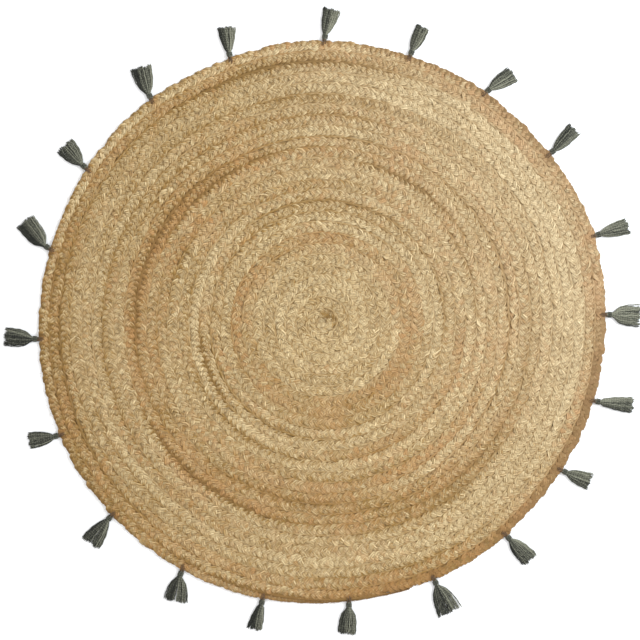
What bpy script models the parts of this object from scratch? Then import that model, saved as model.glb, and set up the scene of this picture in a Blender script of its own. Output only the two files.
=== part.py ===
"""A round jute rug, lying flat: one long flat plait coiled from the middle out and sewn edge to
edge, with cotton tassels bound to its rim.

Metres, +Z up. The origin is on the floor, under the middle of the coil.
"""

import math
from collections import namedtuple

import bmesh
import bpy
from mathutils import Vector

MM = 0.001
GAP = 0.3 * MM  # left between pieces that touch

# The coil. It runs outward counter-clockwise, seen from above.
PLAIT_WIDTH = 22.7 * MM  # so each turn lies this far outside the one before
COIL_TURNS = 27
END_ANGLE = 288.0  # degrees round the rim, where the plait's end is sewn down
TAPER_ANGLE = 60.0  # degrees over which the last turn narrows to its end
END_SHARE = 0.25  # of the plait's width that is left at its end
STATIONS = 64  # places round each turn where its cross-section is set
CREST_HEIGHT = 9.6 * MM  # along the middle of the plait
SEAM_HEIGHT = 6.2 * MM  # where two turns are sewn together
RIM_HEIGHT = 4.8 * MM  # of the rug's outer edge
HEART_TURNS = 1.5  # turned so tight that they make one round heart
HEART_HEIGHT = 9.4 * MM
HEART_OFFSET = 9.0 * MM  # of its highest point from the middle
START_ANGLE = 90.0  # degrees over which the plait rises out of the heart
FIRST_STATION = round(HEART_TURNS * STATIONS)
LAST_STATION = COIL_TURNS * STATIONS

# How the hand-sewn rim wanders from a true spiral: waves round it, their height, and where
# the first of their crests is.
Wave = namedtuple("Wave", "count height_mm crest_deg")
RIM_WAVES = (
    Wave(1, 2.5, -51),
    Wave(2, 2.7, 8),
    Wave(4, 1.7, 20),
    Wave(5, 0.8, 12),
    Wave(6, 0.8, 20),
    Wave(7, 0.7, -13),
    Wave(9, 1.2, 18),
    Wave(10, 0.7, -14),
)
WAVE_FADE = 3  # the power of the radius with which the waves die away inward

# The tassels, round the rim. Length runs from the rim to the longest end, spread is the width of
# the ends, lean is counter-clockwise from straight out, and parting is the gap down the middle.
Tassel = namedtuple("Tassel", "angle_deg length_mm spread_mm lean_deg parting_mm")
TASSELS = (
    Tassel(1.6, 76, 47, -5, 0),
    Tassel(17.8, 76, 34, -1, 0),
    Tassel(36.8, 78, 36, 9, 0),
    Tassel(54.9, 73, 37, -23, 0),
    Tassel(72.2, 70, 33, -7, 0),
    Tassel(90.0, 71, 39, -16, 0),
    Tassel(109.6, 69, 41, -13, 0),
    Tassel(127.8, 75, 45, -22, 0),
    Tassel(147.1, 71, 47, -16, 2),
    Tassel(165.0, 84, 48, -36, 0),
    Tassel(183.3, 75, 42, -10, 0),
    Tassel(203.0, 69, 38, -14, 0),
    Tassel(222.2, 78, 42, 11, 5),
    Tassel(240.1, 70, 46, 19, 6),
    Tassel(257.4, 70, 37, -4, 0),
    Tassel(275.0, 72, 39, -11, 0),
    Tassel(293.1, 81, 53, 2, 3),
    Tassel(310.5, 77, 40, 4, 0),
    Tassel(328.1, 68, 36, 10, 0),
    Tassel(343.8, 86, 32, 12, 0),
)

# The parts of one tassel
LOCK_COLUMNS = 5  # locks side by side in each of its two layers
NECK_WIDTH = 11.0 * MM
NECK_HEIGHT = 6.4 * MM
NECK_LENGTH = 14.0 * MM
NECK_LEAN = 0.5  # share of the lean that the neck already has
SHOULDER_AT = 19.0 * MM
SHOULDER_WIDTH = 19.0 * MM
SHOULDER_HEIGHT = 8.2 * MM
MIDDLE_AT = 0.55  # of the way from the shoulder to the ends
MIDDLE_SPREAD = 0.86  # of the spread of the ends
LOWER_LOCK_HEIGHT = 3.8 * MM
UPPER_LOCK_HEIGHT = 3.2 * MM
TIP_HEIGHT = 2.2 * MM
UPPER_TIP_FLOOR = 3.2 * MM  # the upper layer's ends lie on the slope of the lower one
TIP_SHARE = 0.62  # of a lock's share of the spread, at its end
UPPER_SPREAD = 0.8  # of the lower layer's
RAGGED = (0.95, 1.0, 0.91, 0.97, 0.88, 1.0, 0.93)  # lengths of locks, over and over
LOCK_GAP = 0.5 * MM
SWAY = 1.0 * MM  # of the ends of locks, to either side

# The binding wound round a tassel's neck
WRAP_FROM = 3.0 * MM
WRAP_TO = 12.0 * MM
WRAP_THICKNESS = 1.0 * MM
NECK_BOTTOM = WRAP_THICKNESS + GAP

# Levels of a tassel, from its root at the rim to the ends of its locks
ROOT, NECK_END, SHOULDER, MIDDLE, TIP = range(5)

JUTE_COLOUR = (0.503, 0.347, 0.175, 1.0)
COTTON_COLOUR = (0.175, 0.181, 0.152, 1.0)


def smooth_step(share):
    share = min(max(share, 0.0), 1.0)
    return share * share * (3 - 2 * share)


def material(name, colour, roughness):
    made = bpy.data.materials.new(name)
    made.use_nodes = True
    shader = made.node_tree.nodes["Principled BSDF"]
    shader.inputs["Base Color"].default_value = colour
    shader.inputs["Roughness"].default_value = roughness
    shader.inputs["Metallic"].default_value = 0.0
    return made


def add_piece(name, bm, collection, finish):
    mesh = bpy.data.meshes.new(name)
    bm.to_mesh(mesh)
    bm.free()
    mesh.materials.append(finish)
    piece = bpy.data.objects.new(name, mesh)
    collection.objects.link(piece)
    return piece


# ---------------------------------------------------------------- the coiled plait


def station_angle(station):
    """The angle of a station, in radians. The last one is at END_ANGLE."""
    return math.radians(END_ANGLE) + math.tau * (station - LAST_STATION) / STATIONS


def rim_wander(angle):
    return sum(
        w.height_mm * MM * math.cos(w.count * (angle - math.radians(w.crest_deg)))
        for w in RIM_WAVES
    )


def plait_share(station):
    """How much of its full width the plait has at a station."""
    to_end = (LAST_STATION - station) * 360 / STATIONS
    return END_SHARE + (1 - END_SHARE) * smooth_step(to_end / TAPER_ANGLE)


def coil_point(station, across):
    """A point on the coil: across is 0 at a turn's inner seam and 1 at its outer one."""
    inner = PLAIT_WIDTH * (station - STATIONS) / STATIONS
    radius = inner + across * PLAIT_WIDTH * plait_share(station)
    angle = station_angle(station)
    full = PLAIT_WIDTH * COIL_TURNS
    radius += rim_wander(angle) * (radius / full) ** WAVE_FADE
    return Vector((radius * math.cos(angle), radius * math.sin(angle), 0))


def coil_height(station, across):
    if across == 0.5:
        rise = smooth_step((station - FIRST_STATION) * 360 / STATIONS / START_ANGLE)
        return SEAM_HEIGHT + (CREST_HEIGHT - SEAM_HEIGHT) * rise * plait_share(station)
    if across == 1 and station > LAST_STATION - STATIONS:
        return RIM_HEIGHT
    return SEAM_HEIGHT


def make_coil(collection, finish):
    """A strip with a crest along its middle, wound into the coil, its turns sewn together."""
    count = LAST_STATION - FIRST_STATION
    bm = bmesh.new()
    bmesh.ops.create_grid(bm, x_segments=count, y_segments=2, size=1.0)
    for vert in bm.verts:
        station = FIRST_STATION + round((vert.co.x + 1) / 2 * count)
        across = round(vert.co.y + 1) / 2
        vert.co = coil_point(station, across)
        vert.co.z = coil_height(station, across)
    bmesh.ops.remove_doubles(bm, verts=bm.verts, dist=0.01 * MM)
    close_heart(bm)
    close_underside(bm)
    bmesh.ops.recalc_face_normals(bm, faces=bm.faces)
    return add_piece("plait_coil", bm, collection, finish)


def close_heart(bm):
    """Fills the middle of the coil with a low round boss."""
    reach = PLAIT_WIDTH * (HEART_TURNS + 0.1)
    edges = [e for e in bm.edges if e.is_boundary and e.verts[0].co.xy.length < reach]
    heart = bmesh.ops.contextual_create(bm, geom=edges)["faces"]
    boss = bmesh.ops.poke(bm, faces=heart)["verts"][0]
    # A little to the side of the plait's start, so that all of the edge is seen from it
    aside = station_angle(FIRST_STATION) - math.radians(95)
    boss.co = HEART_OFFSET * Vector((math.cos(aside), math.sin(aside), 0))
    boss.co.z = HEART_HEIGHT


def close_underside(bm):
    """Drops the rim to the floor and closes the flat underside."""
    rim = [e for e in bm.edges if e.is_boundary]
    dropped = bmesh.ops.extrude_edge_only(bm, edges=rim)["geom"]
    for vert in (g for g in dropped if isinstance(g, bmesh.types.BMVert)):
        vert.co.z = 0.0
    bmesh.ops.contextual_create(
        bm, geom=[g for g in dropped if isinstance(g, bmesh.types.BMEdge)]
    )


# ---------------------------------------------------------------- the tassels


def turned_left(way):
    return Vector((-way.y, way.x, 0))


def rim_at(angle):
    """The point of the rim at an angle in radians, on the straight edge between two stations."""
    before_end = (math.radians(END_ANGLE) - angle) % math.tau / math.tau * STATIONS
    station = LAST_STATION - math.ceil(before_end)
    near, far = coil_point(station, 1), coil_point(station + 1, 1)
    side = turned_left(Vector((math.cos(angle), math.sin(angle), 0)))
    share = near.dot(side) / (near.dot(side) - far.dot(side))
    return near.lerp(far, share)


class Path:
    """The way a tassel lies: square to the rim at its root, then leaning to one side."""

    def __init__(self, row):
        angle = math.radians(row.angle_deg)
        half_neck = NECK_WIDTH / 2 / (PLAIT_WIDTH * COIL_TURNS)
        seat = [rim_at(angle + turn) for turn in (-half_neck, 0, half_neck)]
        along_rim = (seat[2] - seat[0]).normalized()
        self.out = -turned_left(along_rim)
        self.root = (seat[0] + seat[2]) / 2
        self.root += self.out * (GAP + max((p - self.root).dot(self.out) for p in seat))
        self.neck_lean = angle + math.radians(row.lean_deg) * NECK_LEAN
        self.skirt_lean = angle + math.radians(row.lean_deg)

    def frame(self, along):
        """The middle of the tassel at a distance from its root, and the direction across it."""
        neck = Vector((math.cos(self.neck_lean), math.sin(self.neck_lean), 0))
        skirt = Vector((math.cos(self.skirt_lean), math.sin(self.skirt_lean), 0))
        middle = self.root + neck * min(along, NECK_LENGTH)
        middle += skirt * max(along - NECK_LENGTH, 0)
        way = neck if along <= NECK_LENGTH else skirt
        if along == 0:
            way = self.out
        return middle, turned_left(way)


def oval(u, v, width, bottom, height):
    """A place on an oval section, for u from -1 to 1 and v of -1, 0 or 1: across it, and above the
    floor. The points of a column stand upright over each other, but for the outer two columns.
    """
    if abs(u) > 0.99:
        across, above = math.copysign(math.cos(v * math.pi / 4), u), math.sin(v * math.pi / 4)
    else:
        across, above = u, v * math.sqrt(1 - u * u)
    return across * width / 2, bottom + height / 2 * (1 + above)


def lock_place(u, v, level, row, length):
    """A corner of a lock, at its middle or its tip."""
    column = min(int((u + 1) / 2 * LOCK_COLUMNS), LOCK_COLUMNS - 1)
    upper = v > 0
    corner_u = math.copysign(1, u - ((2 * column + 1) / LOCK_COLUMNS - 1))
    corner_v = math.copysign(1, v - (0.5 if upper else -0.5))
    side = (2 * column + 1) / LOCK_COLUMNS - 1
    spread = row.spread_mm * MM * (UPPER_SPREAD if upper else 1.0)
    tip = level == TIP
    share = spread / LOCK_COLUMNS
    if tip:
        width = share * TIP_SHARE
        height = TIP_HEIGHT
    else:
        spread *= MIDDLE_SPREAD
        share *= MIDDLE_SPREAD
        width = share - LOCK_GAP
        height = UPPER_LOCK_HEIGHT if upper else LOWER_LOCK_HEIGHT
    middle = side * spread / 2
    parting = row.parting_mm * MM / 2 * (1.0 if tip else 0.4)
    middle += math.copysign(parting, side) if abs(side) > 0.01 else -parting
    middle += SWAY * math.sin(2.4 * column + row.angle_deg) * tip
    floor = 0.0
    if upper:
        floor = UPPER_TIP_FLOOR if tip else LOWER_LOCK_HEIGHT + LOCK_GAP
    end = SHOULDER_AT + (length - SHOULDER_AT) * MIDDLE_AT
    if tip:
        end = length * RAGGED[(column + 2 * upper + int(row.angle_deg)) % len(RAGGED)]
    return end, middle + corner_u * width / 2, floor + height * (corner_v + 1) / 2


def tassel_place(vert, row, path):
    """Moves a vertex from the tassel's plan, u, v and level, to its place on the floor."""
    u, v, level = vert.co.x, vert.co.y, round(vert.co.z)
    length = row.length_mm * MM
    if level in (ROOT, NECK_END):
        along = 0.0 if level == ROOT else NECK_LENGTH
        across, above = oval(u, v, NECK_WIDTH, NECK_BOTTOM, NECK_HEIGHT)
    elif level == SHOULDER:
        along = SHOULDER_AT
        across, above = oval(u, v, SHOULDER_WIDTH, 0.0, SHOULDER_HEIGHT)
    else:
        along, across, above = lock_place(u, v, level, row, length)
    middle, sideways = path.frame(along)
    vert.co = middle + sideways * across
    vert.co.z = above


def make_tassel(number, row, collection, finish):
    """A bundle that is one piece from its root to its shoulder and parts there into locks."""
    path = Path(row)
    bm = bmesh.new()
    bmesh.ops.create_grid(bm, x_segments=LOCK_COLUMNS, y_segments=2, size=1.0)
    faces = bm.faces[:]
    for _ in range(ROOT, SHOULDER):
        edges = list({edge for face in faces for edge in face.edges})
        grown = bmesh.ops.extrude_face_region(bm, geom=faces + edges)["geom"]
        verts = [g for g in grown if isinstance(g, bmesh.types.BMVert)]
        bmesh.ops.translate(bm, verts=verts, vec=(0, 0, 1))
        faces = [g for g in grown if isinstance(g, bmesh.types.BMFace)]
    for _ in range(SHOULDER, TIP):
        faces = bmesh.ops.extrude_discrete_faces(bm, faces=faces)["faces"]
        for face in faces:
            middle = face.calc_center_median()
            for vert in face.verts:
                vert.co = middle + 0.9 * (vert.co - middle) + Vector((0, 0, 1))
    for vert in bm.verts:
        tassel_place(vert, row, path)
    bmesh.ops.recalc_face_normals(bm, faces=bm.faces)
    return add_piece(f"tassel_{number:02d}", bm, collection, finish)


def make_wrap(number, row, collection, finish):
    """The binding round a tassel's neck: a sleeve with the neck's own section, GAP outside it."""
    path = Path(row)
    sides = 2 * (LOCK_COLUMNS + 2)
    past_facets = 1 / math.cos(math.pi / sides)
    bm = bmesh.new()
    bmesh.ops.create_cone(
        bm, cap_ends=False, segments=sides, radius1=1.0, radius2=1.0, depth=2.0
    )
    for vert in bm.verts:
        turn = math.atan2(vert.co.y, vert.co.x)
        along = WRAP_TO if vert.co.z > 0 else WRAP_FROM
        middle, sideways = path.frame(along)
        across = (NECK_WIDTH / 2 + GAP) * past_facets * math.cos(turn)
        above = (NECK_HEIGHT / 2 + GAP) * past_facets * math.sin(turn)
        vert.co = middle + sideways * across
        vert.co.z = NECK_BOTTOM + NECK_HEIGHT / 2 + above
    piece = add_piece(f"tassel_wrap_{number:02d}", bm, collection, finish)
    wall = piece.modifiers.new("wall", "SOLIDIFY")
    wall.thickness = WRAP_THICKNESS
    wall.offset = 1.0
    wall.use_even_offset = True
    return piece


def main():
    for old in list(bpy.data.objects):
        bpy.data.objects.remove(old)
    rug = bpy.data.collections.new("round_rug")
    bpy.context.scene.collection.children.link(rug)
    jute = material("jute", JUTE_COLOUR, 0.85)
    cotton = material("cotton", COTTON_COLOUR, 0.9)
    make_coil(rug, jute)
    for number, row in enumerate(TASSELS, 1):
        make_tassel(number, row, rug, cotton)
        make_wrap(number, row, rug, cotton)


main()
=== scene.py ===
"""Dresses the round jute rug: the three strands of its plait and the thread down in its seams, its
tassels with their bindings and root stitches, stray fibres, and the stage that it is shown on.
Metres, +Z up, in the frame of the CAD model.
"""

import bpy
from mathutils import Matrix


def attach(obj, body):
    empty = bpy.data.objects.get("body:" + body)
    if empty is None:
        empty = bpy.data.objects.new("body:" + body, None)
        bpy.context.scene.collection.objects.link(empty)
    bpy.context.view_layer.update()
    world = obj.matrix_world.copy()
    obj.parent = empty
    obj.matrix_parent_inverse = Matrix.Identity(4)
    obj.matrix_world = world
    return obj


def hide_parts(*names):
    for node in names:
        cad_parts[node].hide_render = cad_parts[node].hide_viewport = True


bl_info = {
    "name": "Round Jute Rug",
    "version": (1, 0, 0),
    "blender": (4, 5, 0),
    "location": "View3D > Sidebar > Jute Rug",
    "description": "Plaits, tassels and lays a round jute rug",
    "category": "Add Mesh",
}

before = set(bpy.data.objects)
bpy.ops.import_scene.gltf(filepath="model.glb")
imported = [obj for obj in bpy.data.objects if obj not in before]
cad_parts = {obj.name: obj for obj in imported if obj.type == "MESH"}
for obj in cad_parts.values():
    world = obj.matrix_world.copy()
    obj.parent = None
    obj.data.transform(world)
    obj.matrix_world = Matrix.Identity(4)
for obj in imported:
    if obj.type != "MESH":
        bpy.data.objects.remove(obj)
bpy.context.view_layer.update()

import math
from collections import namedtuple

import bmesh
import bpy
import numpy as np
from bpy.props import FloatProperty, FloatVectorProperty, IntProperty, PointerProperty
from mathutils import Vector

MM = 0.001
SEED = 26

# The coil, as in the CAD model, but that model has a round heart in the middle and a blunter end.
# It runs outward counter-clockwise, seen from above, and a place along it is a number of turns: at
# turn t its outer seam is t plait widths from the middle.
PLAIT_WIDTH = 22.7 * MM
COIL_TURNS = 27
FIRST_TURN = 0.32  # where the plait starts, folded small in the middle
END_ANGLE = math.radians(288.0)  # round the rim, where the plait's end is sewn down
TAPER_TURNS = 60.0 / 360.0
END_SHARE = 0.14  # of the plait's width that is left at its end
# How the rim wanders from a true spiral: a least-squares fit to the photographed outline
Wave = namedtuple("Wave", "count height_mm crest_deg")
RIM_WAVES = (
    Wave(1, 2.5, -51),
    Wave(2, 2.7, 8),
    Wave(4, 1.7, 20),
    Wave(5, 0.8, 12),
    Wave(6, 0.8, 20),
    Wave(7, 0.7, -13),
    Wave(9, 1.2, 18),
    Wave(10, 0.7, -14),
)
WAVE_FADE = 3  # the power of the radius with which the waves die away inward

# The tassels, as in the CAD model, measured by scratch scripts on a mask of the photograph
Tassel = namedtuple("Tassel", "angle_deg length_mm spread_mm lean_deg parting_mm")
TASSELS = (
    Tassel(1.6, 76, 47, -5, 0),
    Tassel(17.8, 76, 34, -1, 0),
    Tassel(36.8, 78, 36, 9, 0),
    Tassel(54.9, 73, 37, -23, 0),
    Tassel(72.2, 70, 33, -7, 0),
    Tassel(90.0, 71, 39, -16, 0),
    Tassel(109.6, 69, 41, -13, 0),
    Tassel(127.8, 75, 45, -22, 0),
    Tassel(147.1, 71, 47, -16, 2),
    Tassel(165.0, 84, 48, -36, 0),
    Tassel(183.3, 75, 42, -10, 0),
    Tassel(203.0, 69, 38, -14, 0),
    Tassel(222.2, 78, 42, 11, 5),
    Tassel(240.1, 70, 46, 19, 6),
    Tassel(257.4, 70, 37, -4, 0),
    Tassel(275.0, 72, 39, -11, 0),
    Tassel(293.1, 81, 53, 2, 3),
    Tassel(310.5, 77, 40, 4, 0),
    Tassel(328.1, 68, 36, 10, 0),
    Tassel(343.8, 86, 32, 12, 0),
)
LOCK_COLUMNS = 5
RAGGED = (0.95, 1.0, 0.91, 0.97, 0.88, 1.0, 0.93)  # how far the locks reach, one after another
NECK_WIDTH = 11.0 * MM
NECK_HEIGHT = 6.4 * MM
NECK_LENGTH = 14.0 * MM
NECK_LEAN = 0.5  # of the skirt's lean
BEND_FROM = 8.0 * MM  # where a tassel starts to turn from its neck's way into its skirt's
BEND_LENGTH = 12.0 * MM
GAP = 0.3 * MM
BINDING_FROM = 3.0 * MM
BINDING_TO = 12.0 * MM

# The brown of the jute round the root of each tassel
STAIN_INSET = 7.0 * MM
STAIN_RADIUS = 12.0 * MM

# Stretches of plait of one shade: the turns that each begins and ends at, and how much lighter and
# redder than the rest it is. Where two overlap they add up. They were set, led by differences
# from the photograph for each turn and side, so they hold some of its light as well.
Lot = namedtuple("Lot", "start end light red")
LOTS = (
    Lot(0.0, 7.2, 0.15, -0.4),
    Lot(7.2, 9.3, -0.3, 0.45),
    Lot(8.4, 8.75, -0.2, 0.2),
    Lot(9.1, 10.1, -0.3, 0.0),
    Lot(10.2, 12.8, 0.8, -0.1),
    Lot(11.6, 15.6, 0.2, 0.0),
    Lot(12.35, 12.9, 0.8, -0.1),
    Lot(12.95, 13.2, -1.2, 0.3),
    Lot(15.6, 17.2, -0.1, 0.25),
    Lot(15.87, 16.12, -0.3, 0.3),
    Lot(17.5, 17.87, -0.6, 0.5),
    Lot(17.87, 18.12, -0.3, 0.4),
    Lot(18.2, 18.4, -0.8, 0.4),
    Lot(18.5, 18.87, -0.4, 0.5),
    Lot(18.87, 19.12, -0.2, 0.4),
    Lot(18.9, 20.6, 0.1, 0.1),
    Lot(20.6, 22.0, 0.2, 0.0),
    Lot(21.2, 21.4, 0.3, -0.4),
    Lot(22.0, 24.4, 0.4, -0.2),
    Lot(22.2, 22.4, 0.3, -0.4),
    Lot(23.2, 23.4, 0.3, -0.4),
    Lot(24.8, 27.1, -0.45, 0.5),
    Lot(25.5, 25.95, 0.4, -0.1),
    Lot(25.97, 26.2, -2.6, 0.3),
    Lot(26.2, 26.28, 0.4, 0.1),
    Lot(26.28, 26.38, -1.2, 0.2),
    Lot(26.42, 26.93, 0.8, -0.3),
    Lot(26.44, 26.64, 1.1, -0.1),
    Lot(26.78, 26.88, -0.8, 0.1),
    Lot(26.93, 27.1, -2.2, 0.3),
)
LOT_SPLICE = 0.08  # turns over which one shade passes into the next

# The stretches of seam, by turn, where the plait doesn't quite close up to the next turn
OPEN_SEAMS = ((10.7, 10.9), (11.2, 11.55), (17.1, 17.7), (24.4, 24.85))

# Painted shade in the seams between the turns
SHADE_LENGTH = 0.12  # turns in which a seam's painted shade goes from none to dark
SHADE_SHARE = 0.4  # the higher, the more of the seams is dark
SHADE_FROM = 5  # turn
SHADE_GROWTH = 8  # turns from there to where the seams are at their darkest

# A hollow beside the first fold, where the photograph shows a dark arc
# It is sunk, and darkened with painted shade
HOLLOW_RADIUS = 0.82 * PLAIT_WIDTH
HOLLOW_WIDTH = 0.24 * PLAIT_WIDTH
HOLLOW_ANGLE = math.radians(46)
HOLLOW_SPREAD = math.radians(50)
HOLLOW_DEPTH = 3.4 * MM


# ---------------- the settings


def setting(kind, name, description, default, low, high, **unit):
    return kind(name=name, description=description, default=default, min=low, max=high, **unit)


def length_setting(*values):
    return setting(FloatProperty, *values, subtype="DISTANCE", unit="LENGTH")


def colour_setting(*values):
    return setting(FloatVectorProperty, *values, 0.0, 1.0, size=3, subtype="COLOR")


class RugPlaitSettings(bpy.types.PropertyGroup):
    lobe_length: length_setting(
        "Plait Length", "Length in which a strand crosses the plait and comes back", 34.0 * MM, 0.02, 0.08
    )
    strand_width: length_setting(
        "Strand Width", "Width of each of the three flat strands", 13.2 * MM, 0.004, 0.02
    )
    strand_thickness: length_setting(
        "Strand Thickness", "Thickness of each of the three flat strands", 5.0 * MM, 0.001, 0.01
    )
    lift: length_setting(
        "Lift", "How far a strand rises and dips where strands cross", 2.0 * MM, 0.0, 0.006
    )
    overlap: length_setting(
        "Overlap",
        "How far the strands of one turn reach in between those of the next",
        3.0 * MM,
        0.0,
        0.006,
    )
    roll: setting(
        FloatProperty,
        "Roll",
        "How far a strand tips over at the plait's edges",
        default=math.radians(8),
        low=0.0,
        high=1.2,
        subtype="ANGLE",
        unit="ROTATION",
    )
    unevenness: setting(
        FloatProperty,
        "Unevenness",
        "How much the strands vary in width, height and place",
        default=1.0,
        low=0.0,
        high=3.0,
        subtype="FACTOR",
    )
    stray_fibres: setting(
        IntProperty, "Stray Fibres", "Number of fibre ends that stand off the plait", 2400, 10, 3000
    )


class RugTasselSettings(bpy.types.PropertyGroup):
    yarns: setting(IntProperty, "Yarns", "Number of yarns in each tassel", 66, 10, 90)
    yarn_thickness: length_setting(
        "Yarn Thickness", "Thickness of a cotton yarn in the skirt of a tassel", 2.1 * MM, 0.0005, 0.004
    )
    binding_turns: setting(
        IntProperty, "Binding Turns", "Turns of thread round the neck of each tassel", 8, 3, 12
    )


class RugColourSettings(bpy.types.PropertyGroup):
    straw: colour_setting("Straw", "Colour of the palest jute fibres", (0.70, 0.552, 0.315))
    honey: colour_setting("Honey", "Colour of most of the jute", (0.315, 0.183, 0.052))
    russet: colour_setting("Russet", "Colour of the reddest lots of jute", (0.44, 0.225, 0.08))
    # The colour of the real dark flecks, and of the painted shade in the grooves between strands
    fleck_and_groove_shade: colour_setting(
        "Fleck and Groove Shade", "Colour of the dark flecks and of the grooves between strands", (0.115, 0.066, 0.024)
    )
    cotton: colour_setting("Cotton", "Colour of the tassels", (0.25, 0.25, 0.183))
    # Painted light: the pale colour that the jute is mixed with on its lit side
    painted_light_colour: colour_setting(
        "Painted Light", "Colour that the jute is mixed with on the paler side of the rug", (0.66, 0.58, 0.46)
    )
    thread: colour_setting(
        "Thread", "Colour of the stitches that hold the tassels", (0.13, 0.07, 0.03)
    )
    cotton_shade: colour_setting(
        "Cotton Shade", "Colour of the darkest yarns of the tassels", (0.013, 0.014, 0.010)
    )


class RugStageSettings(bpy.types.PropertyGroup):
    lens: setting(
        FloatProperty,
        "Lens",
        "Focal length of the camera, in millimetres",
        default=85.0,
        low=20.0,
        high=300.0,
        subtype="DISTANCE_CAMERA",
    )
    sky: setting(
        FloatProperty, "Room Light", "Strength of the even light from all round", 1.28, 0.0, 5.0
    )
    window: setting(
        FloatProperty, "Window Light", "Power of the large soft light, in watts", 82.0, 0.0, 2000.0
    )


# ---------------- the lie of the coil


def eased(share):
    """A share from 0 to 1 that starts and ends gently."""
    share = np.clip(share, 0.0, 1.0)
    return share * share * (3 - 2 * share)


def turn_angle(turn):
    """The angle round the rug at a number of turns along the plait."""
    return END_ANGLE + math.tau * (turn - COIL_TURNS)


def rim_wander(angle):
    """How far the hand-sewn rim lies outside a true spiral."""
    return sum(
        w.height_mm * MM * np.cos(w.count * (angle - math.radians(w.crest_deg)))
        for w in RIM_WAVES
    )


def plait_share(turn):
    """How much of its full width the plait has: it starts small and tapers to its end."""
    at_end = END_SHARE + (1 - END_SHARE) * eased((COIL_TURNS - turn) / TAPER_TURNS)
    return np.minimum(turn, 1.0) * at_end


def coil_place(turn, across):
    """Points on the coil, X and Y: across is 0 at a turn's inner seam and 1 at its outer one."""
    radius = PLAIT_WIDTH * (np.maximum(turn - 1.0, 0.0) + across * plait_share(turn))
    angle = turn_angle(turn)
    radius = radius + rim_wander(angle) * (radius / (PLAIT_WIDTH * COIL_TURNS)) ** WAVE_FADE
    return np.stack([radius * np.cos(angle), radius * np.sin(angle)], -1)


def rim_place(angle):
    """The point of the rug's edge at an angle."""
    turn = COIL_TURNS - (END_ANGLE - angle) % math.tau / math.tau
    return coil_place(turn, 1.0)


def unit(vectors):
    return vectors / np.linalg.norm(vectors, axis=-1, keepdims=True)


def crossways(line):
    """The level and the upright direction across a line, at each of its points."""
    run = unit(np.gradient(line, axis=-2))
    wide = unit(np.cross(run, (0.0, 0.0, 1.0)))
    return wide, np.cross(wide, run)


def steps_along(line):
    return np.linalg.norm(np.diff(line, axis=0), axis=1)


def summed(steps):
    """How far along each point is, from the steps between them."""
    return np.concatenate([[0], np.cumsum(steps)])


def between_knots(knots, at):
    """Values that pass smoothly from each knot to the next, at places counted in knots."""
    knot = at.astype(int)
    share = eased(at - knot)
    return knots[knot] * (1 - share) + knots[knot + 1] * share


def heading(angle):
    return np.array([math.cos(angle), math.sin(angle)])


def wandering(rng, count, spacing):
    """Random values that change smoothly, spacing places apart, with a spread of about 1."""
    knots = rng.normal(size=int(count / spacing) + 3)
    return between_knots(knots, np.arange(count) / spacing)


def within(turn, start, end):
    """1 in a stretch of the plait and 0 outside it, for places along the plait."""
    return eased((turn - start) / LOT_SPLICE + 0.5) - eased((turn - end) / LOT_SPLICE + 0.5)


def lot_of(turn):
    """How light and how red the jute is, for places along the plait."""
    light, red = np.zeros_like(turn), np.zeros_like(turn)
    for lot in LOTS:
        share = within(turn, lot.start, lot.end)
        light += lot.light * share
        red += lot.red * share
    return light, red


def seam_opening(turn):
    """How far the outer seam at a turn has opened, from 0 to 1."""
    return sum(within(turn, start, end) for start, end in OPEN_SEAMS)


def seam_shade(turn):
    """How much painted shade the outer seam at a turn has, from 0 up: more so further out."""
    rng = np.random.default_rng(SEED + 62)
    knots = rng.normal(size=int((COIL_TURNS + 1) / SHADE_LENGTH) + 2)
    dark = between_knots(np.maximum(knots + SHADE_SHARE, 0.0), np.maximum(turn, 0.0) / SHADE_LENGTH)
    return dark * eased((turn - SHADE_FROM) / SHADE_GROWTH)


def hollow_share(place):
    """How much of the depth of the hollow there is at places on the rug, from 0 to 1."""
    off_radius = (np.hypot(place[:, 0], place[:, 1]) - HOLLOW_RADIUS) / HOLLOW_WIDTH
    off_angle = (np.arctan2(place[:, 1], place[:, 0]) - HOLLOW_ANGLE) / HOLLOW_SPREAD
    return np.exp(-(off_radius**2) - off_angle**2)


def root_stain(place):
    """How brown the jute is round the stitches that hold the tassels, from 0 to 1."""
    stain = np.zeros(len(place))
    for row in TASSELS:
        middle = rim_place(math.radians(row.angle_deg))
        middle = middle * (1 - STAIN_INSET / np.linalg.norm(middle))
        away = np.linalg.norm(place - middle, axis=1)
        stain += np.exp(-((away / STAIN_RADIUS) ** 2))
    return stain


# ---------------- tubes

MAP_MARGIN_ALONG = 0.004
MAP_MARGIN_AROUND = 0.07
CLEAR_OF_FLOOR = 0.05 * MM
END_THICKNESS = 0.25  # of a tube's thickness is left where it is closed


def numbers(items, name, kind=float, width=1):
    """One property of all of a mesh's items, as an array."""
    found = np.empty(len(items) * width, dtype=np.float32 if kind is float else np.int32)
    items.foreach_get(name, found)
    return found.reshape(-1, width) if width > 1 else found


def add_values(mesh, name, kind, values):
    """Gives each vertex of a mesh its own value or vector under a name."""
    layer = mesh.attributes.new(name, kind, "POINT")
    field = "vector" if kind == "FLOAT_VECTOR" else "value"
    layer.data.foreach_set(field, np.ascontiguousarray(values, np.float32).ravel())


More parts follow.
